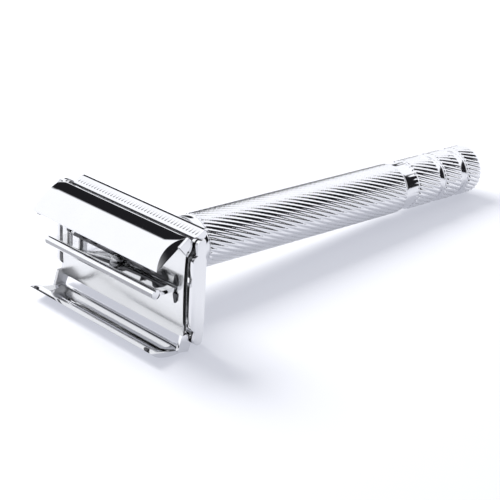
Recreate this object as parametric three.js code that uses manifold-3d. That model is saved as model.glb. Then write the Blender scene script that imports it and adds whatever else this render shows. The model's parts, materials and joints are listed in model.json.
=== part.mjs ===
// Twist-to-open double-edge safety razor, lying on a level surface with its doors open.
// Millimetres. +Z is up, +X runs from the head to the knob, Y runs along the blade.
// The head is drawn about the handle's axis first. The last step tips the razor onto its two resting lines.
import * as THREE from "three";
import { mergeVertices } from "three/addons/utils/BufferGeometryUtils.js";
import Module from "manifold-3d";

const wasm = await Module();
wasm.setup();

// Gaps
const FIT = 0.15; // between pieces that are fixed to one another
const RUN = 0.35; // between pieces that move past one another

// Handle, stations measured along the axis from the head's plane
const HANDLE_R = 6.35;
const GRIP_FROM = 16;
const GRIP_TO = 81;
const GRIP_BORE_R = 4.9;
const GRIP_STARTS = 36;
const GRIP_STEPS = 18;
const GROOVE_DEPTH = 0.32;
const TWIST_PER_MM = 0.0634; // radians, right-handed

// Collar between the grip and the head
const COLLAR_R = 6.3;
const COLLAR_NECK_R = 6;
const COLLAR_STEP = 13;
const COLLAR_TOP = 2;
const COLLAR_BORE_R = 4.2;

// Knob
const NECK_R = 5.9;
const NECK_FROM = 81.35;
const SPIGOT_FROM = 80.2;
const KNOB_R = 6.3;
const KNOB_BANDS = [[85.6, 94], [96.2, 102.4], [105, 110.3]];
const KNOB_STARTS = 32;
const KNOB_GROOVE_R = 5.45;
const KNOB_BORE_R = 4.15;
const KNOB_BORE_TO = 101;
const PLUG_R = 3.1;
const PLUG_FROM = 106.4;

// Drive inside the handle
const ROD_TOP_A = 6.4;
const ROD_TIP_R = 1.5;
const ROD_R = 2.1;
const ROD_TIP_TO = 13;
const ROD_TO = 72;
const SLEEVE_R = 4;
const SLEEVE_FROM = 46;
const SLEEVE_TO = 100;
const RING_AT = 69;
const BUSH_FROM = 71;
const BUSH_TO = 77.6;

// Head: half lengths along the blade
const BED_HALF = 20.9;
const GUARD_HALF = 20.9;
const EAR_FROM = 21.2;
const EAR_TO = 21.95;
const BRACKET_INNER = 22.3;
const BRACKET_OUTER = 23.3;

// Head: stations along the axis, positive towards the face, so drawn at minus X
const BASE_BACK = -1.6;
const BASE_FRONT = -0.3;
const BED_TOP = 4.1;
const BED_EDGE_TOP = 3.6;
const BED_THICK = 1;
const BRACKET_BACK = 0.25;
const BRACKET_FRONT = 3.85;
const LUG_R = 1.2;
const BRACKET_HALF = 8.4;
const GUARD_CENTRE = 11.55;
const GUARD_BACK = -1.6;
const GUARD_FRONT = 2.5;
const GUARD_THICK = 2;
const TOOTH_COUNT = 42;
const TOOTH_PITCH = 0.97;
const TOOTH_FROM = -0.5;
const TOOTH_TO = 1.5;

// Doors
const PIVOT_S = 10.4;
const PIVOT_A = 1.6;
const DOOR_EDGE = [10.45, 4.35]; // shut: the edge over the guard
const DOOR_MEET = [1.4, 7.8]; // shut: the edge beside the centre bar
const DOOR_RISE = 1.6;
const DOOR_SKIN = 0.7;
const DOOR_LIP = 2.4;
const DOOR_HALF = 21.5;
const DOOR_END_SLOPE = 1.4;
const DOOR_WALL = 0.9;
const UPPER_OPEN = 34; // degrees from shut
const LOWER_OPEN = 60;
const PIN_R = 0.45;
const EYE_R = 1.15;

// Centre bar
const BAR_HALF = 18.7;
const BAR_THICK = 1;
const BAR_GAP_HALF = 0.9;
const BAR_FOOT = 2.2;
const BAR_ROLL_A = 9.3;
const BAR_ROLL_R = 1.05;
const RIVET_A = 4.2;
const RIVET_R = 0.5;

// Locating plate on the bed
const PLATE_THICK = 0.6;
const RAIL_HALF = 1.5;
const HUB_R = 2.7;
const FIN_AT = 9.1;
const DIAMOND_AT = 14.3;

const CHROME = { color: 0xd9dbdd, roughness: 0.12, metalness: 1 };
const SATIN = { color: 0xc4c7c9, roughness: 0.32, metalness: 1 };
const STEEL = { color: 0x8e9296, roughness: 0.4, metalness: 1 };
const BRASS = { color: 0xb59a5b, roughness: 0.35, metalness: 1 };

// Turns a closed three.js geometry into a solid, facing out.
function solid(geometry) {
  const bare = new THREE.BufferGeometry();
  bare.setAttribute("position", geometry.getAttribute("position"));
  if (geometry.index) {
    bare.setIndex(geometry.index);
  }
  const merged = mergeVertices(bare, 1e-4);
  const triVerts = new Uint32Array(merged.index.array);
  const vertProperties = new Float32Array(merged.attributes.position.array);
  const made = new wasm.Manifold(new wasm.Mesh({ numProp: 3, vertProperties, triVerts }));
  if (made.volume() > 0) {
    return made;
  }
  for (let i = 0; i < triVerts.length; i += 3) {
    [triVerts[i + 1], triVerts[i + 2]] = [triVerts[i + 2], triVerts[i + 1]];
  }
  return new wasm.Manifold(new wasm.Mesh({ numProp: 3, vertProperties, triVerts }));
}

function geometryOf(body) {
  const mesh = body.getMesh();
  const geometry = new THREE.BufferGeometry();
  const step = mesh.numProp;
  const points = new Float32Array(mesh.numVert * 3);
  for (let i = 0; i < mesh.numVert; i++) {
    points.set(mesh.vertProperties.subarray(i * step, i * step + 3), i * 3);
  }
  geometry.setAttribute("position", new THREE.BufferAttribute(points, 3));
  geometry.setIndex(new THREE.BufferAttribute(new Uint32Array(mesh.triVerts), 1));
  geometry.computeVertexNormals();
  return geometry;
}

// A body turned about the X axis from [station, radius] points.
function turned(profile, segments = 48) {
  const points = profile.map(([x, r]) => new THREE.Vector2(r, x));
  const geometry = new THREE.LatheGeometry(points, segments);
  geometry.rotateZ(-Math.PI / 2);
  return solid(geometry);
}

function rod(r, from, to, segments = 32) {
  return turned([[from, 0], [from, r], [to, r], [to, 0]], segments);
}

function ring(inner, outer, from, to, segments = 40) {
  return turned([[from, inner], [from, outer], [to, outer], [to, inner], [from, inner]], segments);
}

function shapeOf(points) {
  return new THREE.Shape(points.map(([u, v]) => new THREE.Vector2(u, v)));
}

// A prism along the blade. Its outline is given as [across, axial] points of the head.
function along(outline, from, to) {
  const shape = Array.isArray(outline) ? shapeOf(outline) : outline;
  const geometry = new THREE.ExtrudeGeometry(shape, { depth: to - from, bevelEnabled: false });
  geometry.translate(0, 0, from);
  const toHead = new THREE.Matrix4().makeBasis(
    new THREE.Vector3(0, 0, 1),
    new THREE.Vector3(-1, 0, 0),
    new THREE.Vector3(0, -1, 0),
  );
  geometry.applyMatrix4(toHead);
  return solid(geometry);
}

// A plate square to the handle. Its outline is given as [along blade, across] points.
function facing(outline, from, to) {
  const shape = Array.isArray(outline) ? shapeOf(outline) : outline;
  const geometry = new THREE.ExtrudeGeometry(shape, { depth: to - from, bevelEnabled: false });
  geometry.translate(0, 0, from);
  const toHead = new THREE.Matrix4().makeBasis(
    new THREE.Vector3(0, -1, 0),
    new THREE.Vector3(0, 0, 1),
    new THREE.Vector3(-1, 0, 0),
  );
  geometry.applyMatrix4(toHead);
  return solid(geometry);
}

function box(u0, u1, v0, v1) {
  return [[u0, v0], [u1, v0], [u1, v1], [u0, v1]];
}

function arcPoints(cu, cv, r, from, to, count) {
  return Array.from({ length: count + 1 }, (_, i) => {
    const t = from + ((to - from) * i) / count;
    return [cu + r * Math.cos(t), cv + r * Math.sin(t)];
  });
}

function disc(cu, cv, r, count = 24) {
  return arcPoints(cu, cv, r, 0, 2 * Math.PI * (1 - 1 / count), count - 1);
}

function roundedBox(u0, u1, v0, v1, r, count = 4) {
  const quarter = Math.PI / 2;
  return [
    ...arcPoints(u1 - r, v0 + r, r, -quarter, 0, count),
    ...arcPoints(u1 - r, v1 - r, r, 0, quarter, count),
    ...arcPoints(u0 + r, v1 - r, r, quarter, 2 * quarter, count),
    ...arcPoints(u0 + r, v0 + r, r, 2 * quarter, 3 * quarter, count),
  ];
}

function union(bodies) {
  return bodies.reduce((sum, body) => sum.add(body));
}

// A bar with spiral V grooves, twisted evenly along X. Each station is [x, how far its rim is turned down].
function fluted(r, depth, starts, stations) {
  const outline = Array.from({ length: starts * 2 }, (_, i) => {
    const t = (i * Math.PI) / starts;
    const radius = i % 2 ? r - depth : r;
    return new THREE.Vector2(radius * Math.cos(t), radius * Math.sin(t));
  });
  const steps = stations.length - 1;
  const geometry = new THREE.ExtrudeGeometry(new THREE.Shape(outline), { depth: steps, steps, bevelEnabled: false });
  const p = geometry.attributes.position;
  for (let i = 0; i < p.count; i++) {
    const [x, down] = stations[Math.round(p.getZ(i))];
    const turn = x * TWIST_PER_MM;
    const u = p.getX(i) * (1 - down / r);
    const v = p.getY(i) * (1 - down / r);
    p.setXYZ(i, x, -u * Math.cos(turn) - v * Math.sin(turn), -u * Math.sin(turn) + v * Math.cos(turn));
  }
  return solid(geometry);
}

const group = new THREE.Group();
const pieces = new Map();
function add(name, body, finish) {
  const mesh = new THREE.Mesh(geometryOf(body), new THREE.MeshStandardMaterial(finish));
  mesh.name = name;
  pieces.set(name, mesh);
  group.add(mesh);
}

// Handle
const gripStations = Array.from({ length: GRIP_STEPS + 1 }, (_, i) =>
  [GRIP_FROM + ((GRIP_TO - GRIP_FROM) * i) / GRIP_STEPS, 0]);
const gripTube = fluted(HANDLE_R, GROOVE_DEPTH, GRIP_STARTS, gripStations)
  .subtract(rod(GRIP_BORE_R, GRIP_FROM - 1, GRIP_TO + 1));
add("grip_tube", gripTube, CHROME);

const collar = turned([
  [COLLAR_TOP, COLLAR_BORE_R],
  [COLLAR_TOP, COLLAR_NECK_R],
  [COLLAR_STEP, COLLAR_NECK_R],
  [COLLAR_STEP + 0.3, COLLAR_R],
  [GRIP_FROM - FIT, COLLAR_R],
  [GRIP_FROM - FIT, GRIP_BORE_R - FIT],
  [GRIP_FROM + 6, GRIP_BORE_R - FIT],
  [GRIP_FROM + 6, COLLAR_BORE_R],
  [COLLAR_TOP, COLLAR_BORE_R],
]);
add("head_collar", collar, CHROME);

add("rod_guide", ring(ROD_R + RUN, COLLAR_BORE_R - 2 * FIT, COLLAR_TOP + 12, COLLAR_TOP + 20), BRASS);

// Bearing for the knob's sleeve, inside the lower end of the tube
add("bearing_bush", ring(SLEEVE_R + FIT, GRIP_BORE_R - 2 * FIT, BUSH_FROM, BUSH_TO), BRASS);
add("retaining_ring", ring(SLEEVE_R + FIT, GRIP_BORE_R - RUN, RING_AT, RING_AT + 1), STEEL);
add("thrust_washer", ring(SLEEVE_R + FIT, GRIP_BORE_R - 2 * FIT, BUSH_TO + FIT, BUSH_TO + 0.8), STEEL);
add("spring_washer", ring(SLEEVE_R + FIT, GRIP_BORE_R - RUN, BUSH_TO + 1.1, BUSH_TO + 1.8), STEEL);

// Knob, with knurled bands between turned grooves
const [bandA, bandB, bandC] = KNOB_BANDS;
const knobCore = turned([
  [SPIGOT_FROM, KNOB_BORE_R],
  [SPIGOT_FROM, GRIP_BORE_R - RUN],
  [NECK_FROM, GRIP_BORE_R - RUN],
  [NECK_FROM, NECK_R - 0.3],
  [NECK_FROM + 0.3, NECK_R],
  [bandA[0], NECK_R],
  [bandA[1], NECK_R],
  [bandA[1] + 0.3, KNOB_GROOVE_R],
  [bandB[0] - 0.3, KNOB_GROOVE_R],
  [bandB[0], NECK_R],
  [bandB[1], NECK_R],
  [bandB[1] + 0.3, KNOB_GROOVE_R],
  [bandC[0] - 0.3, KNOB_GROOVE_R],
  [bandC[0], NECK_R],
  [bandC[1] - 0.8, NECK_R],
  [bandC[1], NECK_R - 0.8],
  [bandC[1], PLUG_R],
  [PLUG_FROM, PLUG_R],
  [PLUG_FROM, 1.2],
  [KNOB_BORE_TO, 1.2],
  [KNOB_BORE_TO, KNOB_BORE_R],
  [SPIGOT_FROM, KNOB_BORE_R],
]);
const knurls = KNOB_BANDS.map(([from, to]) =>
  fluted(KNOB_R, GROOVE_DEPTH, KNOB_STARTS, [[from, 0.4], [from + 0.4, 0], [to - 0.6, 0], [to, 0.6]])
    .subtract(rod(NECK_R - 0.8, from - 1, to + 1, 24)));
add("knob", union([knobCore, ...knurls]), CHROME);

const plugSlot = along(box(-PLUG_R - 1, PLUG_R + 1, -bandC[1] - 1, -bandC[1] + 0.7), -0.4, 0.4);
const plug = turned([
  [PLUG_FROM + 0.1, 0],
  [PLUG_FROM + 0.1, PLUG_R - FIT],
  [bandC[1] - 0.3, PLUG_R - FIT],
  [bandC[1], PLUG_R - FIT - 0.3],
  [bandC[1], 0],
]);
add("end_plug", plug.subtract(plugSlot), CHROME);

// Drive: sleeve turned by the knob, rod screwed into it
add("drive_sleeve", ring(ROD_R + RUN, SLEEVE_R, SLEEVE_FROM, SLEEVE_TO), STEEL);

const rodDome = arcPoints(0, 0, 1, 0, Math.PI / 2, 5)
  .map(([u, v]) => [-ROD_TOP_A + ROD_TIP_R * (1 - v) * 0.7, ROD_TIP_R * u]).reverse();
const barSlot = along(box(-BAR_THICK / 2 - FIT, BAR_THICK / 2 + FIT, BAR_FOOT - 2 * FIT, 12), -3, 3);
const pinBore = rod(RIVET_R + FIT, -3, 3, 16).rotate([0, 90, 0]).translate([-RIVET_A, 0, 0]);
const pushRod = turned([
  ...rodDome,
  [ROD_TIP_TO, ROD_TIP_R],
  [ROD_TIP_TO + 0.6, ROD_R],
  [ROD_TO, ROD_R],
  [ROD_TO, 0],
], 32);
add("push_rod", pushRod.subtract(barSlot).subtract(pinBore), STEEL);
const barPin = rod(RIVET_R, -ROD_TIP_R + 0.1, ROD_TIP_R - 0.1, 16).rotate([0, 90, 0]);
add("bar_pin", barPin.translate([-RIVET_A, 0, 0]), STEEL);

// Centre bar: a web with a rolled top, standing in the bed's slot
const web = along(
  box(-BAR_THICK / 2, BAR_THICK / 2, BAR_FOOT, BAR_ROLL_A),
  -BAR_HALF,
  BAR_HALF,
);
const roll = along(disc(0, BAR_ROLL_A, BAR_ROLL_R, 20), -BAR_HALF, BAR_HALF);
add("centre_bar", web.add(roll).subtract(pinBore), CHROME);

// Base plate, with a slot that the centre bar sinks into and a hole for the rod
const barWell = facing(
  box(-BAR_HALF - RUN, BAR_HALF + RUN, -BAR_GAP_HALF, BAR_GAP_HALF),
  BASE_BACK - 4,
  BED_TOP + 2,
);
const basePlate = facing(
  roundedBox(-BED_HALF, BED_HALF, -GUARD_CENTRE + 1.2, GUARD_CENTRE - 1.2, 0.8, 2),
  BASE_BACK,
  BASE_FRONT,
);
add("head_base", basePlate.subtract(rod(ROD_TIP_R + RUN, -8, 4)).subtract(barWell), SATIN);

// Guards: rounded bars with a row of fine scallops
const guardOuter = GUARD_CENTRE + GUARD_THICK / 2;
const guardCut = Array.from({ length: TOOTH_COUNT }, (_, i) => {
  const at = (i - (TOOTH_COUNT - 1) / 2) * TOOTH_PITCH;
  const notch = [[at - 0.3, guardOuter + 0.1], [at, guardOuter - 0.4], [at + 0.3, guardOuter + 0.1]];
  return facing(notch, TOOTH_FROM, TOOTH_TO);
});
const guardBar = along(
  roundedBox(
    guardOuter - GUARD_THICK,
    guardOuter,
    GUARD_BACK,
    GUARD_FRONT,
    0.9,
    4,
  ),
  -GUARD_HALF,
  GUARD_HALF,
);
const guard = guardBar.subtract(union(guardCut));
add("guard_upper", guard, CHROME);
add("guard_lower", guard.mirror([0, 0, 1]), CHROME);

// Bed: a shallow arch with a slot for the centre bar
const bedHalf = guardOuter - GUARD_THICK - 2 * FIT;
const bedOutline = [
  [-bedHalf, BED_EDGE_TOP],
  [-bedHalf, BED_EDGE_TOP - BED_THICK],
  [-bedHalf / 2, BED_EDGE_TOP - BED_THICK + 0.35],
  [0, BED_TOP - BED_THICK],
  [bedHalf / 2, BED_EDGE_TOP - BED_THICK + 0.35],
  [bedHalf, BED_EDGE_TOP - BED_THICK],
  [bedHalf, BED_EDGE_TOP],
  [bedHalf / 2, BED_EDGE_TOP + 0.4],
  [0, BED_TOP],
  [-bedHalf / 2, BED_EDGE_TOP + 0.4],
];
const keySlots = [-1, 1].map((side) =>
  facing(
    box(side * (BAR_HALF - 0.2) - 0.6, side * (BAR_HALF - 0.2) + 0.6, -2.6, 2.6),
    BASE_BACK - 4,
    BED_TOP + 2,
  ));
const bedBody = along(bedOutline, -BED_HALF, BED_HALF)
  .subtract(barWell)
  .subtract(rod(ROD_TIP_R + RUN, -8, 4))
  .subtract(union(keySlots));
const bedPosts = [-1, 1].flatMap((side) => [-1, 1].map((end) =>
  facing(
    box(end * 12 - 2, end * 12 + 2, side * 6 - 1.5, side * 6 + 1.5),
    BASE_FRONT + FIT,
    BED_EDGE_TOP - 0.6,
  )));
add("blade_bed", union([bedBody, ...bedPosts]), CHROME);

// Locating plate: rail with diamond ends and fins that match the slot of a blade
const diamond = [[-1.8, 0], [0, -2.8], [1.8, 0], [0, 2.8]];
const plateFrom = BED_TOP + FIT;
const plateTo = plateFrom + PLATE_THICK;
const plateAll = union([
  facing(box(-DIAMOND_AT, DIAMOND_AT, -RAIL_HALF, RAIL_HALF), plateFrom, plateTo),
  facing(disc(0, 0, HUB_R), plateFrom, plateTo),
  ...[-1, 1].flatMap((side) => [
    facing(diamond.map(([u, v]) => [u + side * DIAMOND_AT, v]), plateFrom, plateTo),
    facing(box(side * FIN_AT - 0.35, side * FIN_AT + 0.35, -2.4, 2.4), plateFrom, plateTo),
  ]),
]);
const upperHalf = facing(box(-20, 20, BAR_GAP_HALF, 10), 0, 9);
const plateUpper = plateAll.intersect(upperHalf).subtract(rod(ROD_TIP_R + RUN, -9, 0));
add("locating_plate_upper", plateUpper, STEEL);
add("locating_plate_lower", plateUpper.mirror([0, 0, 1]), STEEL);

// End brackets: a rounded plate across each end, with a wing out to each hinge pin
function bracket(side) {
  const outline = union([
    along(
      roundedBox(-BRACKET_HALF, BRACKET_HALF, BRACKET_BACK, BRACKET_FRONT, 1.6, 5),
      BRACKET_INNER,
      BRACKET_OUTER,
    ),
    ...[-1, 1].flatMap((edge) => [
      along(disc(edge * PIVOT_S, PIVOT_A, LUG_R, 20), BRACKET_INNER, BRACKET_OUTER),
      along(
        box(edge * 8.6 - 1.8, edge * 8.6 + 1.8, PIVOT_A - LUG_R + 0.05, PIVOT_A + LUG_R - 0.1),
        BRACKET_INNER,
        BRACKET_OUTER,
      ),
    ]),
  ]);
  const holes = [-1, 1].map((edge) =>
    along(disc(edge * PIVOT_S, PIVOT_A, PIN_R + FIT, 16), BRACKET_INNER - 1, BRACKET_OUTER + 1));
  const body = outline.subtract(union(holes));
  return side > 0 ? body : body.mirror([0, 1, 0]);
}
add("bracket_right", bracket(1), CHROME);
add("bracket_left", bracket(-1), CHROME);

// Doors: drawn shut on the upper side, then turned open about the hinge pins
const chordS = DOOR_MEET[0] - DOOR_EDGE[0];
const chordA = DOOR_MEET[1] - DOOR_EDGE[1];
const chord = Math.hypot(chordS, chordA);
const doorR = (chord * chord / 4 + DOOR_RISE * DOOR_RISE) / (2 * DOOR_RISE);
const spread = Math.asin(chord / 2 / doorR);
// Points of the door's own plane: along the chord from the outer edge, and height above it.
function doorPoint([u, h]) {
  const cu = chordS / chord;
  const cv = chordA / chord;
  return [DOOR_EDGE[0] + u * cu + h * cv, DOOR_EDGE[1] + u * cv - h * cu];
}
function doorArc(r, from, to, count) {
  return arcPoints(chord / 2, DOOR_RISE - doorR, r, Math.PI / 2 + from, Math.PI / 2 + to, count);
}
const skinOuter = doorArc(doorR, -spread, spread, 12).map(doorPoint);
const troughFrom = chord - DOOR_LIP;
const innerSpread = (u) => Math.asin((u - chord / 2) / (doorR - DOOR_SKIN));
const trough = [
  ...doorArc(doorR - DOOR_SKIN, -innerSpread(troughFrom), -innerSpread(0.9), 9),
  [0.9, -1],
  [troughFrom, -1],
].map(doorPoint);
const endTaper = [-1, 1].map((side) => {
  const cut = [
    [side * DOOR_HALF, 0],
    [side * (DOOR_HALF + 3), 0],
    [side * (DOOR_HALF + 3), 4],
    [side * (DOOR_HALF - DOOR_END_SLOPE * 2.5), 4],
  ];
  const shape = shapeOf(cut);
  const geometry = new THREE.ExtrudeGeometry(shape, { depth: 30, bevelEnabled: false });
  geometry.translate(0, 0, -10);
  const alongBlade = new THREE.Vector3(0, -1, 0);
  const [risenS, risenA] = [chordA / chord, -chordS / chord];
  const [runS, runA] = [chordS / chord, chordA / chord];
  geometry.applyMatrix4(new THREE.Matrix4().makeBasis(
    alongBlade,
    new THREE.Vector3(-risenA, 0, risenS),
    new THREE.Vector3(-runA, 0, runS),
  ));
  geometry.translate(-DOOR_EDGE[1], 0, DOOR_EDGE[0]);
  return solid(geometry);
});
const ear = [[0.2, 0.3], [0.1, -0.1], [2.9, 0.2], [2.4, -3.6], [0.7, -3.6], [-0.4, -1.6]].map(doorPoint);
const earPlates = [-1, 1].map((side) => {
  const inner = side > 0 ? EAR_FROM : -EAR_TO;
  const outer = side > 0 ? EAR_TO : -EAR_FROM;
  return union([
    along(ear, inner, outer),
    along(disc(PIVOT_S, PIVOT_A, EYE_R, 20), inner, outer),
  ]);
});
const pinHole = along(disc(PIVOT_S, PIVOT_A, PIN_R + 0.2, 16), -30, 30);
const shutDoor = along(skinOuter, -DOOR_HALF, DOOR_HALF)
  .subtract(along(trough, -DOOR_HALF + DOOR_WALL, DOOR_HALF - DOOR_WALL))
  .subtract(union(endTaper));
const doorBody = union([shutDoor, ...earPlates]).subtract(pinHole);
// Turns a body about the upper hinge line, opening it by so many degrees.
function opened(body, degrees) {
  return body
    .translate([PIVOT_A, 0, -PIVOT_S])
    .rotate([0, degrees, 0])
    .translate([-PIVOT_A, 0, PIVOT_S]);
}
add("door_upper", opened(doorBody, UPPER_OPEN), CHROME);
add("door_lower", opened(doorBody, LOWER_OPEN).mirror([0, 0, 1]), CHROME);

const pin = along(disc(PIVOT_S, PIVOT_A, PIN_R, 16), EAR_FROM - 0.1, BRACKET_OUTER - 0.2);
for (const [name, flips] of [
  ["hinge_pin_upper_right", []],
  ["hinge_pin_upper_left", [[0, 1, 0]]],
  ["hinge_pin_lower_right", [[0, 0, 1]]],
  ["hinge_pin_lower_left", [[0, 1, 0], [0, 0, 1]]],
]) {
  add(name, flips.reduce((body, normal) => body.mirror(normal), pin), STEEL);
}

// Tips the razor so the knob's rim and the lower door's back both touch the ground.
function lowest(mesh, tilt) {
  const p = mesh.geometry.attributes.position;
  let low = Infinity;
  for (let i = 0; i < p.count; i++) {
    low = Math.min(low, p.getZ(i) * Math.cos(tilt) - p.getX(i) * Math.sin(tilt));
  }
  return low;
}
let level = 0;
let steep = 0.2;
for (let i = 0; i < 50; i++) {
  const tilt = (level + steep) / 2;
  const knobHigher = lowest(pieces.get("knob"), tilt) > lowest(pieces.get("door_lower"), tilt);
  [level, steep] = knobHigher ? [tilt, steep] : [level, tilt];
}
group.rotation.y = level;
group.updateMatrixWorld(true);
const bounds = new THREE.Box3().setFromObject(group, true);
const centre = bounds.getCenter(new THREE.Vector3());
group.position.set(-centre.x, -centre.y, -bounds.min.z);

export default group;
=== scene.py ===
"""A twist-to-open safety razor in polished chrome, lying open on a white table."""
import json
import math

import bmesh
import bpy
from mathutils import Matrix, Vector

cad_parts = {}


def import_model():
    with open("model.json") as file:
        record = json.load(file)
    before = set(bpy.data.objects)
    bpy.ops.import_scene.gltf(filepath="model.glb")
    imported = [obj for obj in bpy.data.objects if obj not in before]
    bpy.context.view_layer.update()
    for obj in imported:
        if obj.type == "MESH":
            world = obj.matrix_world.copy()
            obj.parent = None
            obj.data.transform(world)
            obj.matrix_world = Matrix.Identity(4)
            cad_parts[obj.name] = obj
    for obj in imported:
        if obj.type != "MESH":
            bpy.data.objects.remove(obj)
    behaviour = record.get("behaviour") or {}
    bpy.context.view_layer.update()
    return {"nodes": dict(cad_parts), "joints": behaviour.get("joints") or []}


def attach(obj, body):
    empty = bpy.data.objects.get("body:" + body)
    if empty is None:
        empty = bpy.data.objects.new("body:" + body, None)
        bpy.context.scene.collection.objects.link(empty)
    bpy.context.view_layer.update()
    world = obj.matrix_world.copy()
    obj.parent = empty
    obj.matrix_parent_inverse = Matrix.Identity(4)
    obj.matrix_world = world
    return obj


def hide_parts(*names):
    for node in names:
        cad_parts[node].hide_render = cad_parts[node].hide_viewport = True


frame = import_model()

MM = 0.001

# The head's own axes, read from the knob's joint: L along the blade, S across, A up the handle to the head.
KNOB_JOINT_A = -95.0
knob_joint = next(j for j in frame["joints"] if j["name"] == "knob_turn")
AXIS_A = Vector(knob_joint["axis"]).normalized()
AXIS_L = Vector((0.0, -1.0, 0.0))
AXIS_S = AXIS_A.cross(AXIS_L)
ORIGIN = Vector(knob_joint["pos_m"]) - AXIS_A * KNOB_JOINT_A * MM
HEAD = Matrix((
    (AXIS_L[0] * MM, AXIS_S[0] * MM, AXIS_A[0] * MM, ORIGIN[0]),
    (AXIS_L[1] * MM, AXIS_S[1] * MM, AXIS_A[1] * MM, ORIGIN[1]),
    (AXIS_L[2] * MM, AXIS_S[2] * MM, AXIS_A[2] * MM, ORIGIN[2]),
    (0.0, 0.0, 0.0, 1.0),
))


# ---------------------------------------------------------------- materials

TARNISH = 0.06


def node_of(tree, kind, **inputs):
    """A new node, with some of its inputs set or linked."""
    node = tree.nodes.new(kind)
    for name, value in inputs.items():
        socket = node.inputs[name.replace("_", " ")]
        if isinstance(value, bpy.types.NodeSocket):
            tree.links.new(value, socket)
        else:
            socket.default_value = value
    return node


def metal(name, color, rough, rough_spread, bump):
    """Polished metal: cloudy roughness, a faint uneven tint, and a fine waviness."""
    mat = bpy.data.materials.new(name)
    mat.use_nodes = True
    tree = mat.node_tree
    shader = tree.nodes["Principled BSDF"]
    shader.inputs["Metallic"].default_value = 1.0
    place = tree.nodes.new("ShaderNodeTexCoord").outputs["Object"]

    clouds = node_of(tree, "ShaderNodeTexNoise", Vector=place, Scale=140.0, Detail=4.0)
    grain = node_of(tree, "ShaderNodeTexNoise", Vector=place, Scale=1900.0, Detail=3.0)
    tint = tree.nodes.new("ShaderNodeMix")
    tint.data_type = "RGBA"
    tint.inputs[6].default_value = (*color, 1.0)
    tint.inputs[7].default_value = (*[c * (1.0 - TARNISH) for c in color], 1.0)
    tree.links.new(clouds.outputs["Fac"], tint.inputs[0])
    tree.links.new(tint.outputs[2], shader.inputs["Base Color"])

    mixed = node_of(tree, "ShaderNodeMath")
    mixed.operation = "MULTIPLY"
    tree.links.new(clouds.outputs["Fac"], mixed.inputs[0])
    tree.links.new(grain.outputs["Fac"], mixed.inputs[1])
    span = tree.nodes.new("ShaderNodeMapRange")
    span.inputs["From Min"].default_value = 0.1
    span.inputs["From Max"].default_value = 0.5
    span.inputs["To Min"].default_value = rough
    span.inputs["To Max"].default_value = rough + rough_spread
    tree.links.new(mixed.outputs[0], span.inputs["Value"])
    tree.links.new(span.outputs["Result"], shader.inputs["Roughness"])

    wave = node_of(tree, "ShaderNodeBump", Strength=bump, Distance=0.00002)
    tree.links.new(grain.outputs["Fac"], wave.inputs["Height"])
    tree.links.new(wave.outputs["Normal"], shader.inputs["Normal"])
    return mat


CHROME = metal("chrome", (0.80, 0.803, 0.815), 0.03, 0.05, 0.05)
CHROME_GRIP = metal("chrome_grip", (0.80, 0.803, 0.82), 0.07, 0.08, 0.08)
CHROME_BED = metal("chrome_bed", (0.80, 0.803, 0.80), 0.2, 0.08, 0.05)
# Darker chrome that paints shade onto the base plate under the deck.
CHROME_PAINTED_SHADE_UNDER = metal("chrome_painted_shade_under", (0.62, 0.625, 0.63), 0.12, 0.12, 0.12)
# Dark grey chrome that paints shade onto the underside band of the centre bar's roll.
CHROME_SHADED = metal("chrome_painted_grey_shade", (0.36, 0.363, 0.375), 0.18, 0.12, 0.12)
# Rough chrome whose colour is darkened as painted shade, for the left bracket's sheet and the left ears, so
# the left end reads grey.
CHROME_ROUGH_PAINTED_GREY = metal("chrome_rough_painted_grey", (0.66, 0.662, 0.67), 0.42, 0.16, 0.3)
STEEL = metal("steel", (0.50, 0.505, 0.51), 0.22, 0.15, 0.2)
# Near-black steel that paints the dark reflections and shade seen on the bed's plates, catches and door
# stops.
STEEL_PAINTED_DARK = metal("steel_painted_dark", (0.075, 0.076, 0.08), 0.16, 0.14, 0.15)
# Near-black metal that paints shade into the gaps, seams and recesses that lie in shadow.
BLACK_PAINTED_SHADE = metal("black_painted_shade", (0.03, 0.03, 0.032), 0.3, 0.15, 0.2)
BRASS = metal("brass", (0.72, 0.56, 0.28), 0.25, 0.15, 0.2)


# ---------------------------------------------------------------- mesh helpers

BEVEL_FROM = 32.0     # degrees: flatter edges stay as they are


def face_outwards(mesh, merge=False):
    """Turns every face outwards, after merging points in the same place if asked."""
    work = bmesh.new()
    work.from_mesh(mesh)
    if merge:
        bmesh.ops.remove_doubles(work, verts=work.verts, dist=1e-7)
    bmesh.ops.recalc_face_normals(work, faces=work.faces)
    work.to_mesh(mesh)
    work.free()


def raw(name, parts):
    """An unfinished object from vertices and faces in the head's axes and millimetres."""
    verts, faces = parts
    mesh = bpy.data.meshes.new(name)
    mesh.from_pydata([HEAD @ Vector(v) for v in verts], [], faces)
    face_outwards(mesh)
    obj = bpy.data.objects.new(name, mesh)
    bpy.context.scene.collection.objects.link(obj)
    return obj


def piece(name, parts, body, material, replaces=(), bevel=0.0, smooth=35.0):
    """A finished piece, made in one step and hung on its body."""
    obj = raw(name, parts)
    obj.data.validate()
    return finish_piece(obj, body, material, replaces, bevel, smooth)


def finish_piece(obj, body, material, replaces=(), bevel=0.0, smooth=35.0, segments=2):
    """Bevels, shades and hangs an object on its body, in place of the plain nodes it replaces."""
    face_outwards(obj.data, merge=True)
    if bevel:
        mod = obj.modifiers.new("bevel", "BEVEL")
        mod.width = bevel * MM
        mod.segments = segments
        mod.limit_method = "ANGLE"
        mod.angle_limit = math.radians(BEVEL_FROM)
        apply_modifiers(obj)
    obj.data.materials.clear()
    obj.data.materials.append(material)
    for polygon in obj.data.polygons:
        polygon.use_smooth = True
    obj.data.set_sharp_from_angle(angle=math.radians(smooth))
    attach(obj, body)
    if replaces:
        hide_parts(*replaces)
    return obj


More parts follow.
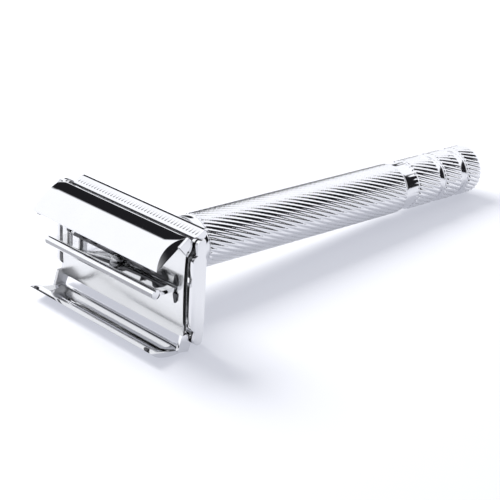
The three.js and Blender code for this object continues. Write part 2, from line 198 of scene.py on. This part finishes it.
def apply_modifiers(obj):
    """Keeps the mesh that the object's modifiers make, in place of them."""
    bpy.context.view_layer.update()
    graph = bpy.context.evaluated_depsgraph_get()
    made = bpy.data.meshes.new_from_object(obj.evaluated_get(graph))
    obj.modifiers.clear()
    obj.data = made


def prism(outline, low, high, axis="L"):
    """Vertices and faces of an outline extruded along one of the head's axes."""
    def at(p, depth):
        u, v = p
        return {"L": (depth, u, v), "A": (u, v, depth), "S": (u, depth, v)}[axis]
    n = len(outline)
    verts = [at(p, low) for p in outline] + [at(p, high) for p in outline]
    faces = [list(range(n))[::-1], list(range(n, 2 * n))]
    faces += [[i, (i + 1) % n, n + (i + 1) % n, n + i] for i in range(n)]
    return verts, faces


def skin(rings):
    """A solid through rings of the same number of points, closed at both ends."""
    n = len(rings[0])
    verts = [p for ring in rings for p in ring]
    faces = []
    for r in range(len(rings) - 1):
        for i in range(n):
            j = (i + 1) % n
            faces.append([r * n + i, r * n + j, (r + 1) * n + j, (r + 1) * n + i])
    faces.append(list(range(n))[::-1])
    faces.append([(len(rings) - 1) * n + i for i in range(n)])
    return verts, faces


def lathe(profile, segments, radius=None):
    """A closed profile of [station, radius] points turned about the handle's axis."""
    rings = []
    for k, (a, r) in enumerate(profile):
        ring = []
        for i in range(segments):
            phi = 2 * math.pi * i / segments
            reach = radius(phi, a, r, k) if radius else r
            ring.append((reach * math.cos(phi), reach * math.sin(phi), a))
        rings.append(ring)
    verts = [p for ring in rings for p in ring]
    faces = []
    for r in range(len(rings)):
        q = (r + 1) % len(rings)
        for i in range(segments):
            j = (i + 1) % segments
            faces.append([r * segments + i, r * segments + j, q * segments + j, q * segments + i])
    return verts, faces


def arc(cu, cv, r, start, end, count):
    """Points along an arc, from one angle in degrees to another."""
    return [
        (cu + r * math.cos(math.radians(start + (end - start) * i / count)),
         cv + r * math.sin(math.radians(start + (end - start) * i / count)))
        for i in range(count + 1)
    ]


def rounded_box(u0, u1, v0, v1, r, count):
    """The outline of a rectangle with rounded corners."""
    return (arc(u1 - r, v0 + r, r, -90, 0, count) + arc(u1 - r, v1 - r, r, 0, 90, count)
            + arc(u0 + r, v1 - r, r, 90, 180, count) + arc(u0 + r, v0 + r, r, 180, 270, count))


def flip(points):
    """The same outline on the lower side of the head."""
    return [(-u, v) for u, v in points][::-1]


def combine_solids(obj, parts, operation, with_self=False):
    """Applies a boolean with a second solid, which is then thrown away."""
    other = raw("addition", parts)
    mod = obj.modifiers.new("combine", "BOOLEAN")
    mod.operation = operation
    mod.solver = "EXACT"
    mod.use_self = with_self
    mod.object = other
    apply_modifiers(obj)
    bpy.data.objects.remove(other)


def cut(obj, parts):
    """Takes a solid, given in the head's axes, away from an object."""
    combine_solids(obj, parts, "DIFFERENCE", with_self=True)


def unite(obj, parts):
    """Joins a solid, given in the head's axes, to an object."""
    combine_solids(obj, parts, "UNION")


# ---------------------------------------------------------------- handle

TWIST = 0.0635       # radians per millimetre, right-handed
GRIP_R = 6.35
GRIP_STARTS = 36
GRIP_TOP = -16.0
GRIP_END = -81.0
GRIP_BORE_R = 4.95
GRIP_FLUTE = 0.3
KNOB_STARTS = 32
KNOB_R = 6.3
KNOB_FLUTE = 0.32
SIDES_PER_FLUTE = 8


def flute(phi, a, starts, depth, half_width=0.27):
    """How far the surface is cut in at this angle and station."""
    turn = (phi - TWIST * a) * starts / (2 * math.pi)
    t = turn - math.floor(turn)
    groove = max(0.0, 1.0 - abs(t - 0.5) / half_width)
    crown = (2.0 * abs(((t + 0.5) % 1.0) - 0.5)) ** 2
    return depth * (0.85 * groove + 0.15 * crown)


def grip():
    """The fluted tube, with a rounded edge at both ends."""
    steps = 120
    plain = 0.7
    rounding = [(0.0, 0.35), (0.12, 0.16), (0.35, 0.0)]
    outer = [(GRIP_TOP - along, GRIP_R - down) for along, down in rounding]
    length = GRIP_END - GRIP_TOP + 2 * plain
    outer += [(GRIP_TOP - plain + length * i / steps, GRIP_R) for i in range(steps + 1)]
    outer += [(GRIP_END + along, GRIP_R - down) for along, down in reversed(rounding)]
    inner = [(GRIP_END, GRIP_BORE_R), (GRIP_TOP, GRIP_BORE_R)]
    profile = outer + inner
    last = len(outer) - 1

    def radius(phi, a, r, k):
        if k > last:
            return r
        fade = min(1.0, min(GRIP_TOP - a, a - GRIP_END) / 0.35)
        return r - flute(phi, a, GRIP_STARTS, GRIP_FLUTE) * max(0.25, fade)

    parts = lathe(profile, GRIP_STARTS * SIDES_PER_FLUTE, radius)
    piece("grip_fluted", parts, "handle", CHROME_GRIP, ["grip_tube"], smooth=60)


def knob():
    """A plain neck and three knurled bands, with a turned groove between each two."""
    bands = [(85.6, 94.0), (96.2, 102.4), (105.0, 110.3)]
    groove_r = 5.45
    outer = [(80.2, 4.55), (81.3, 4.55), (81.35, 5.55), (81.5, 5.8), (81.8, 5.9), (85.4, 5.9)]
    knurled = [False] * len(outer)
    for b, (low, high) in enumerate(bands):
        steps = max(6, int((high - low) / 0.45))
        round_low = 0.35
        round_high = 0.9 if b == 2 else 0.45
        for d in (0.0, 0.1, round_low):
            drop = round_low * (1 - math.sqrt(max(0.0, 1 - (1 - d / round_low) ** 2)))
            outer.append((low + d, KNOB_R - drop))
            knurled.append(True)
        for i in range(1, steps):
            at = low + round_low + (high - low - round_low - round_high) * i / steps
            outer.append((at, KNOB_R))
            knurled.append(True)
        for k in range(6):
            t = math.radians(90 * k / 5)
            drop = round_high * (1 - math.cos(t))
            outer.append((high - round_high + round_high * math.sin(t), KNOB_R - drop))
            knurled.append(True)
        if b < 2:
            step = bands[b + 1][0] - high
            floor = [(0.02, 5.75), (0.18, groove_r + 0.06), (0.4, groove_r), (step - 0.4, groove_r),
                     (step - 0.18, groove_r + 0.06), (step - 0.02, 5.75)]
            for d, r in floor:
                outer.append((high + d, r))
                knurled.append(False)
    inner = [(110.3, 3.35), (110.1, 3.15), (106.4, 3.15), (106.4, 1.2)]
    inner += [(101.0, 1.2), (101.0, 4.2), (80.2, 4.2)]
    profile = [(-a, r) for a, r in outer + inner]
    knurled += [False] * len(inner)

    def radius(phi, a, r, k):
        if not knurled[k]:
            return r
        strength = max(0.0, min(1.0, (r - 5.5) / 0.7))
        return r - flute(phi, a, KNOB_STARTS, KNOB_FLUTE) * strength

    parts = lathe(profile, KNOB_STARTS * SIDES_PER_FLUTE, radius)
    piece("knob_knurled", parts, "twist_knob", CHROME_GRIP, ["knob"], smooth=50)


def collar():
    """A plain turned sleeve: a shoulder against the grip, a fine step and a slightly slimmer neck."""
    profile = [(-15.85, 5.95), (-15.8, 6.22), (-15.65, 6.3), (-13.9, 6.3), (-13.75, 6.22), (-13.7, 6.0)]
    profile += [(-13.55, 5.75), (-13.3, 5.7), (-13.1, 5.85), (-13.0, 6.0), (-12.85, 6.04)]
    profile += [(-2.2, 6.04), (-2.05, 5.95), (-2.0, 5.8), (-2.0, 4.25)]
    profile += [(-22.0, 4.25), (-22.0, 4.75), (-15.85, 4.75)]
    piece("collar_turned", lathe(profile, 96), "handle", CHROME, ["head_collar"], smooth=40)


def plug():
    """The screw plug in the knob's end, with its slot."""
    profile = [(-106.5, 0.4), (-106.5, 2.95), (-110.05, 2.95), (-110.2, 2.85), (-110.28, 2.6), (-110.28, 0.4)]
    obj = raw("plug_slotted", lathe(profile, 48))
    cut(obj, prism([(-0.4, -110.9), (0.4, -110.9), (0.4, -109.6), (-0.4, -109.6)], -3.5, 3.5, "L"))
    finish_piece(obj, "twist_knob", CHROME, ["end_plug"], bevel=0.05)


# ---------------------------------------------------------------- head

BED_HALF = 20.9
DECK_SLOT = [(-19.05, -0.9), (19.05, -0.9), (19.05, 0.9), (-19.05, 0.9)]
ROD_HOLE = arc(0.0, 0.0, 1.9, 0, 360, 32)[:-1]
CATCH_L = 18.5
BAR_HALF = 18.65
ROLL_A = 9.3
ROLL_R = 1.05
TEETH = 42
TOOTH_PITCH = 0.97
TOOTH_DEPTH = 0.11
GUARD_SLOPE = 0.52
PIVOT = (10.4, 1.6)
DOOR_EDGE = (10.45, 4.35)
DOOR_MEET = (1.4, 7.8)
DOOR_HALF = 21.5
DOOR_WALL = 0.85
DOOR_COLUMNS = 26
DOOR_ROWS = 16
LIP_WIDTH = 2.4
END_SLOPE = 0.6
RISE = 1.6
SKIN = 0.7

def guard(side):
    """A guard bar whose crest slopes to the blade, with a row of short fine grooves across it."""
    crest = [(10.75, -1.45), (11.1, -1.6), (12.2, -1.6)]
    crest += [(12.4, -1.57), (12.52, -1.45), (12.47, -0.95), (12.4, -0.85)]
    crest += [(12.4 - GUARD_SLOPE * (a + 0.85), a) for a in (-0.7, -0.55, -0.3, 0.0, 0.3, 0.6, 0.9, 1.2, 1.4)]
    crest += [(11.1, 1.62), (10.95, 1.72), (10.78, 1.68), (10.65, 1.5), (10.62, 1.2), (10.62, -1.1)]
    row = TEETH * TOOTH_PITCH / 2
    ends = [BED_HALF - back for back in (0.4, 0.2, 0.05, 0.0)]
    stations = [-at for at in reversed(ends)]
    stations += [-row + TOOTH_PITCH * i / 8 for i in range(TEETH * 8 + 1)]
    stations += ends
    rings = []
    centre_s, centre_a = 11.5, 0.3
    for at in stations:
        end = max(0.0, abs(at) - BED_HALF + 0.2) / 0.2
        inset = 0.18 * end * end
        phase = (at + row) / TOOTH_PITCH
        t = abs(phase - math.floor(phase) - 0.5)
        scoop = max(0.0, 1.0 - t / 0.25) if abs(at) < row else 0.0
        ring = []
        for s, a in crest:
            s2 = s + (centre_s - s) * inset
            a2 = a + (centre_a - a) * inset
            edge = min(1.0, (0.6 - a) / 0.3, (a + 0.7) / 0.4)
            if s > 11.3 and edge > 0.0:
                s2 -= TOOTH_DEPTH * scoop * edge
            ring.append((at, side * s2, a2))
        rings.append(ring)
    name = "upper" if side > 0 else "lower"
    node = f"guard_{name}"
    obj = piece(f"{node}_scalloped", skin(rings), "handle", CHROME, [node], smooth=50)
    # Painted shade: a thin near-black strip along the guard's back rim, standing for the dark gap between
    # guard and door.
    shade(obj, lambda l, s, a: 1.45 < a < 1.75 and side * s > 10.9)


def shade(obj, chosen, metal_used=BLACK_PAINTED_SHADE):
    """Paints shade: gives the faces whose middle is chosen, in the head's axes, a second, darker metal
    (near-black painted shade unless another is given).
    """
    obj.data.materials.append(metal_used)
    back = HEAD.inverted()
    for polygon in obj.data.polygons:
        if chosen(*(back @ polygon.center)):
            polygon.material_index = len(obj.data.materials) - 1


def bracket(side):
    """The rounded end plate, with its lugs for the hinge pins, and a thin sheet behind its rim painted as the
    shade of the recess there: near-black on the right end, grey on the left.
    """
    name = "right" if side > 0 else "left"
    plate = rounded_box(-8.4, 8.4, 0.25, 3.85, 1.7, 8)
    # The sheet behind the rim is painted shade: near-black on the right, darker grey chrome on the left.
    for part, near, far, metal_used, edge in (
            ("rounded", 22.5, 23.3, CHROME, 0.22),
            ("painted_shade_sheet", 22.3, 22.5, BLACK_PAINTED_SHADE if side > 0 else CHROME_ROUGH_PAINTED_GREY, 0.0)):
        low, high = sorted((side * near, side * far))
        obj = raw(f"bracket_{name}_{part}", prism(plate, low, high))
        for end in (-1, 1):
            lug = [(7.0, 0.5), (9.3, 0.42)] + arc(10.4, 1.6, 1.18, -60, 110, 10) + [(8.6, 2.6), (7.0, 2.9)]
            unite(obj, prism(lug if end > 0 else flip(lug), low, high))
        node = f"bracket_{name}"
        finish_piece(obj, "handle", metal_used, [node], bevel=edge, segments=3)


def bed():
    """The crowned deck that carries the blade, cut away for the bar, the rod and the bar's end catches."""
    outline = [(-10.3, 3.55), (-10.3, 2.75), (-5.0, 3.0), (0.0, 3.1), (5.0, 3.0), (10.3, 2.75), (10.3, 3.55)]
    outline += [(10.3 - 20.6 * i / 16, 3.6 + 0.5 * (1 - (1 - i / 8) ** 2)) for i in range(17)][1:-1]
    obj = raw("bed_slotted", prism(outline, -BED_HALF, BED_HALF))
    cut(obj, prism(DECK_SLOT, -1.0, 6.0, "A"))
    cut(obj, prism(ROD_HOLE, -1.0, 6.0, "A"))
    for side in (-1, 1):
        post = rounded_box(side * CATCH_L - 0.6, side * CATCH_L + 0.6, -2.6, 2.6, 0.3, 3)
        cut(obj, prism(post, -1.0, 6.0, "A"))
    finish_piece(obj, "handle", CHROME_BED, ["blade_bed"], bevel=0.06)


def base():
    """The flat plate under the deck, its chrome darkened as painted shade."""
    outline = rounded_box(-BED_HALF, BED_HALF, -10.35, 10.35, 0.8, 4)
    obj = raw("base_plate", prism(outline, -1.6, -0.3, "A"))
    cut(obj, prism(DECK_SLOT, -3.0, 2.0, "A"))
    cut(obj, prism(ROD_HOLE, -3.0, 2.0, "A"))
    finish_piece(obj, "handle", CHROME_PAINTED_SHADE_UNDER, ["head_base"], bevel=0.12)


def centre_bar():
    """The web of the centre bar, its rim rolled to a tube with the seam left open along its face; the seam's
    faces are painted near-black as shade, and a band below it is painted grey as shade.
    """
    seam, seam_half, seam_floor = 20.0, 8.0, 0.66
    outline = [(-0.45, 2.2), (-0.45, 8.36)] + arc(0.0, ROLL_A, ROLL_R, 245, seam + seam_half, 20)
    outline += arc(0.0, ROLL_A, seam_floor, seam + seam_half, seam - seam_half, 3)
    outline += arc(0.0, ROLL_A, ROLL_R, seam - seam_half, -65, 16) + [(0.45, 2.2)]
    parts = prism(outline, -BAR_HALF, BAR_HALF)
    node = "centre_bar"
    obj = piece("centre_bar_rolled", parts, "lift", CHROME, [node], bevel=0.04, smooth=30)

    def on_side(l):
        return abs(l) < BAR_HALF - 0.05

    def in_seam(l, s, a):
        return on_side(l) and s > 0.5 and a > ROLL_A and math.hypot(s, a - ROLL_A) < ROLL_R - 0.08

    def below_seam(l, s, a):
        return on_side(l) and 66 < math.degrees(math.atan2(a - ROLL_A, s)) < 112

    # Painted shade: the seam near-black, and the band below it grey.
    shade(obj, in_seam)
    shade(obj, below_seam, CHROME_SHADED)


def push_rod():
    """The rod, with its domed tip slotted for the centre bar and a thicker shank down the handle."""
    angles = [math.radians(90 * i / 8) for i in range(1, 9)]
    dome = [(6.4 - 1.05 * (1 - math.cos(t)), 1.5 * math.sin(t)) for t in angles]
    profile = dome + [(-13.0, 1.5), (-13.6, 2.1), (-72.0, 2.1), (-72.0, 0.01), (6.4, 0.01)]
    obj = raw("push_rod_domed", lathe(profile, 48))
    cut(obj, prism([(-0.65, 1.9), (0.65, 1.9), (0.65, 8.0), (-0.65, 8.0)], -3.0, 3.0, "L"))
    finish_piece(obj, "lift", STEEL, ["push_rod"], bevel=0.05)


def locating_plates():
    """Plates on the bed, painted near-black as the dark reflections they show, shaped to a blade's slot: a
    rail with a fin, a diamond end and a half hub.
    """
    low, high = 4.2, 4.85
    hub = arc(0, 0, 2.7, 90, 33, 8)
    fin = [(8.6, 1.4), (8.8, 2.3), (9.1, 2.5), (9.4, 2.3), (9.6, 1.4)]
    diamond = [(12.3, 1.4), (13.2, 2.35), (14.3, 2.6), (15.6, 1.7), (16.1, 0.9), (1.7, 0.9)]
    right = hub + fin + diamond + arc(0, 0, 1.92, 28, 90, 4)
    upper = right + [(-u, v) for u, v in right[-2:0:-1]]
    for side, name in ((1, "upper"), (-1, "lower")):
        outline = upper if side > 0 else [(u, -v) for u, v in upper][::-1]
        node = f"locating_plate_{name}"
        piece(f"{node}_cut", prism(outline, low, high, "A"), "handle", STEEL_PAINTED_DARK, [node], bevel=0.07)


def bed_catches():
    """Two small blades at each end of the bed's slot, tapering away from it, painted near-black as the dark
    reflections they show.
    """
    quarter = [(0.2, 3.1), (0.6, 1.6), (0.65, 0.95)]
    for end, word in ((1, "right"), (-1, "left")):
        for row, part in ((1, "upper"), (-1, "lower")):
            outline = [(end * CATCH_L + u, row * v) for u, v in quarter]
            outline += [(end * CATCH_L - u, row * v) for u, v in quarter[::-1]]
            parts = prism(outline, 3.3, 4.35, "A")
            piece(f"bed_catch_{part}_{word}", parts, "handle", STEEL_PAINTED_DARK, (), bevel=0.06)


def door(side, degrees):
    """A curved door with closed ends and a flat lip along its free edge.

    Returns place(u, h), which gives S and A for u along the door's chord from its hinge side and h above it.
    """
    dx, dy = DOOR_MEET[0] - DOOR_EDGE[0], DOOR_MEET[1] - DOOR_EDGE[1]
    chord = math.hypot(dx, dy)
    dx, dy = dx / chord, dy / chord
    big = (chord * chord / 4 + RISE * RISE) / (2 * RISE)
    spread = math.asin(chord / 2 / big)
    turn = math.radians(degrees)

    def place(u, h):
        s = DOOR_EDGE[0] + u * dx + h * dy
        a = DOOR_EDGE[1] + u * dy - h * dx
        ds, da = s - PIVOT[0], a - PIVOT[1]
        s2 = PIVOT[0] + ds * math.cos(turn) + da * math.sin(turn)
        a2 = PIVOT[1] - ds * math.sin(turn) + da * math.cos(turn)
        return side * s2, a2

    def height(u, inwards=0.0):
        r = big - inwards
        return math.sqrt(max(0.0, r * r - (u - chord / 2) ** 2)) - (big - RISE)

    def half(h):
        """Half the shell's length at a height above its chord plane."""
        return DOOR_HALF - END_SLOPE * max(0.0, h)

    angles = [spread * (1 - 2 * i / DOOR_COLUMNS) for i in range(DOOR_COLUMNS + 1)]
    us = [chord * (0.5 - 0.5 * math.sin(angle) / math.sin(spread)) for angle in angles]
    name = "upper" if side > 0 else "lower"
    obj = raw(f"door_{name}_shell", build_door_solid(place, height, half, us, chord - LIP_WIDTH))
    finish_piece(obj, f"{name}_door", CHROME, [f"door_{name}"], bevel=0.07, smooth=30)
    return place


def build_door_solid(place, height, half, us, lip):
    """The door as one closed skin: bulged outside, trough, lip and end walls."""
    verts, faces = [], []

    def add(l, u, h):
        verts.append((l, *place(u, h)))
        return len(verts) - 1

    def depth(u):
        return max(0.05, height(u, SKIN))

    stations = [-1.0 + 2.0 * k / DOOR_ROWS for k in range(DOOR_ROWS + 1)]
    outer = [[add(t * half(height(u)), u, height(u)) for u in us] for t in stations]
    for near, far in zip(outer, outer[1:]):
        for i in range(len(us) - 1):
            faces.append([near[i], near[i + 1], far[i + 1], far[i]])
    # Flat end walls, from the bulge down to the chord plane.
    faces += [outer[0], outer[-1]]

    # The trough, whose mouth lies in the chord plane.
    mouth_low, mouth_high = 0.9, lip - 0.3
    inner_us = [mouth_low] + [u for u in us if mouth_low < u < mouth_high] + [mouth_high]
    mouth_l = DOOR_HALF - DOOR_WALL
    trough = []
    for t in stations:
        row = [add(t * mouth_l, mouth_low, 0.0)]
        row += [add(t * min(mouth_l, half(depth(u)) - DOOR_WALL), u, depth(u)) for u in inner_us]
        row += [add(t * mouth_l, mouth_high, 0.0)]
        trough.append(row)
    for near, far in zip(trough, trough[1:]):
        for i in range(len(near) - 1):
            faces.append([near[i], far[i], far[i + 1], near[i + 1]])
    faces += [trough[0], trough[-1]]

    # The rim between the outer edge and the mouth.
    for r in range(DOOR_ROWS):
        faces.append([outer[r][0], outer[r + 1][0], trough[r + 1][0], trough[r][0]])
        faces.append([outer[r][-1], trough[r][-1], trough[r + 1][-1], outer[r + 1][-1]])
    for r in (0, -1):
        faces.append([outer[r][0], trough[r][0], trough[r][-1], outer[r][-1]])
    return verts, faces


def ears(side, place, name):
    """The two hinge ears of a door: a ring round the pin, and the web that joins it to the door's end."""
    for end, word in ((-1, "left"), (1, "right")):
        low, high = sorted((end * 21.2, end * 21.95))
        ring = arc(side * PIVOT[0], PIVOT[1], 1.15, 0, 360, 28)[:-1]
        obj = raw(f"ear_{name}_{word}", prism(ring, low, high))
        web = [place(u, h) for u, h in [(0.1, 0.3), (2.9, 0.3), (2.5, -3.3), (0.9, -3.6), (-0.35, -1.6)]]
        unite(obj, prism(web, low, high))
        cut(obj, prism(arc(side * PIVOT[0], PIVOT[1], 0.6, 0, 360, 20)[:-1], low - 1, high + 1))
        # The left ears take the darker rough chrome as painted shade; the right ears stay plain chrome.
        chosen_metal = CHROME if end > 0 else CHROME_ROUGH_PAINTED_GREY
        finish_piece(obj, f"{name}_door", chosen_metal, (), bevel=0.1)


def lugs(side, place, name):
    """A small stop under each corner of a door's free edge, painted near-black as shade."""
    edge_u = math.hypot(DOOR_MEET[0] - DOOR_EDGE[0], DOOR_MEET[1] - DOOR_EDGE[1])
    for end, word in ((1, "right"), (-1, "left")):
        low, high = sorted((end * 18.9, end * 20.1))
        section = [(-0.75, -0.05), (-0.1, -0.05), (0.0, -0.35), (-0.2, -0.6), (-0.65, -0.6)]
        block = [place(edge_u + u, h) for u, h in section]
        obj = raw(f"stop_{name}_{word}", prism(block, low, high))
        finish_piece(obj, f"{name}_door", STEEL_PAINTED_DARK, (), bevel=0.08)


def pins():
    """The four hinge pins, with rounded ends."""
    inside, outside = 21.1, 23.1
    steps = [(inside, 0.35), (inside + 0.1, 0.45)]
    steps += [(outside - 0.25, 0.45), (outside - 0.08, 0.36), (outside, 0.2)]
    turns = [2 * math.pi * i / 24 for i in range(24)]
    for side, name in ((1, "upper"), (-1, "lower")):
        for end, word in ((1, "right"), (-1, "left")):
            rings = [[(end * l, side * PIVOT[0] + r * math.cos(p), PIVOT[1] + r * math.sin(p)) for p in turns]
                     for l, r in steps]
            node = f"hinge_pin_{name}_{word}"
            piece(f"{node}_turned", skin(rings), "handle", STEEL, [node])


grip()
knob()
collar()
plug()
for guard_side in (1, -1):
    guard(guard_side)
for bracket_side in (1, -1):
    bracket(bracket_side)
bed()
base()
centre_bar()
push_rod()
locating_plates()
bed_catches()
for door_side, open_degrees, door_name in ((1, 34.0, "upper"), (-1, 60.0, "lower")):
    door_place = door(door_side, open_degrees)
    ears(door_side, door_place, door_name)
    lugs(door_side, door_place, door_name)
pins()

INNER_FINISH = {
    "rod_guide": BRASS, "bearing_bush": BRASS, "retaining_ring": STEEL, "thrust_washer": STEEL,
    "spring_washer": STEEL, "drive_sleeve": STEEL, "bar_pin": STEEL,
}
for node_name, chosen_metal in INNER_FINISH.items():
    mesh_object = frame["nodes"][node_name]
    mesh_object.data.materials.clear()
    mesh_object.data.materials.append(chosen_metal)


# ---------------------------------------------------------------- table, light and camera

def table():
    """A wide white table, a little blue in the shadows."""
    half = 3.0
    mesh = bpy.data.meshes.new("table")
    corners = [(-half, -half, 0), (half, -half, 0), (half, half, 0), (-half, half, 0)]
    mesh.from_pydata(corners, [], [[0, 1, 2, 3]])
    obj = bpy.data.objects.new("table", mesh)
    bpy.context.scene.collection.objects.link(obj)
    mat = bpy.data.materials.new("table_white")
    mat.use_nodes = True
    shader = mat.node_tree.nodes["Principled BSDF"]
    shader.inputs["Base Color"].default_value = (0.17, 0.17, 0.17, 1.0)
    shader.inputs["Roughness"].default_value = 0.6
    shader.inputs["Emission Color"].default_value = (0.86, 0.885, 1.0, 1.0)
    shader.inputs["Emission Strength"].default_value = 0.56
    shader.inputs["Specular IOR Level"].default_value = 0.1
    obj.data.materials.append(mat)


def world():
    """A white room, dark towards the head's right end, with one dark card up behind its left end."""
    scene_world = bpy.data.worlds.new("studio")
    bpy.context.scene.world = scene_world
    scene_world.use_nodes = True
    tree = scene_world.node_tree
    background = tree.nodes["Background"]
    direction = tree.nodes.new("ShaderNodeTexCoord").outputs["Generated"]

    def facing(vector, low, high):
        dot = tree.nodes.new("ShaderNodeVectorMath")
        dot.operation = "DOT_PRODUCT"
        tree.links.new(direction, dot.inputs[0])
        dot.inputs[1].default_value = vector
        step = tree.nodes.new("ShaderNodeMapRange")
        step.interpolation_type = "SMOOTHSTEP"
        step.inputs["From Min"].default_value = low
        step.inputs["From Max"].default_value = high
        tree.links.new(dot.outputs["Value"], step.inputs["Value"])
        return step.outputs["Result"]

    def combine(kind, *values):
        node = tree.nodes.new("ShaderNodeMath")
        node.operation = kind
        node.use_clamp = True
        for i, value in enumerate(values):
            if isinstance(value, float):
                node.inputs[i].default_value = value
            else:
                tree.links.new(value, node.inputs[i])
        return node.outputs[0]

    right_side = facing(AXIS_L, 0.36, 0.46)
    back_card = facing(AXIS_L * -0.724 + AXIS_S * 0.544 - AXIS_A * 0.425, 0.94, 0.965)
    below = facing(Vector((0, 0, -1)), 0.0, 0.02)
    far_corner = facing(-AXIS_A, -0.35, -0.1)
    corner = combine("MULTIPLY", right_side, combine("MULTIPLY_ADD", far_corner, 0.5, 0.5))
    dark = combine("ADD", corner, back_card)
    lit = combine("SUBTRACT", 1.0, dark)
    lit = combine("MAXIMUM", lit, below)
    color = tree.nodes.new("ShaderNodeMix")
    color.data_type = "RGBA"
    color.inputs[6].default_value = (0.012, 0.012, 0.014, 1)
    color.inputs[7].default_value = (0.95, 0.96, 1.0, 1)
    tree.links.new(lit, color.inputs[0])
    tree.links.new(color.outputs[2], background.inputs["Color"])
    background.inputs["Strength"].default_value = 1.32


def light(name, place_mm, target_mm, size, power):
    """A round lamp, placed in the head's axes, which lights the table but doesn't show in the metal."""
    data = bpy.data.lights.new(name, "AREA")
    data.shape = "DISK"
    data.size = size
    data.energy = power
    obj = bpy.data.objects.new(name, data)
    bpy.context.scene.collection.objects.link(obj)
    where = HEAD @ Vector(place_mm)
    aim = HEAD @ Vector(target_mm) - where
    obj.location = where
    obj.rotation_euler = aim.to_track_quat("-Z", "Y").to_euler()
    obj.visible_glossy = False


# Camera, as its right, down and forward directions and its place in the head's axes.
CAMERA_PLACE = Vector((218.53, 112.5, 175.0))
CAMERA_RIGHT = Vector((0.6744, 0.0540, -0.7363))
CAMERA_DOWN = Vector((0.3037, -0.9293, 0.2101))
CAMERA_FORWARD = Vector((-0.6730, -0.3653, -0.6432))
FOCAL_PX = 1400.9
FRAME_PX = 500.0
SENSOR_MM = 36.0


def camera():
    """The camera, from its place and directions in the head's axes."""
    data = bpy.data.cameras.new("camera")
    data.sensor_width = SENSOR_MM
    data.lens = SENSOR_MM * FOCAL_PX / FRAME_PX
    data.clip_start = 0.01
    obj = bpy.data.objects.new("camera", data)
    bpy.context.scene.collection.objects.link(obj)
    turn = HEAD.to_3x3() * (1 / MM)
    right, down, forward = (turn @ v for v in (CAMERA_RIGHT, CAMERA_DOWN, CAMERA_FORWARD))
    up, back = -down, -forward
    where = HEAD @ CAMERA_PLACE
    obj.matrix_world = Matrix((
        (right[0], up[0], back[0], where[0]),
        (right[1], up[1], back[1], where[1]),
        (right[2], up[2], back[2], where[2]),
        (0, 0, 0, 1),
    ))
    bpy.context.scene.camera = obj


camera()
table()
world()
light("key", (-470, 480, 40), (0, 0, -50), 0.4, 18.0)
bpy.context.scene.view_settings.view_transform = "Standard"
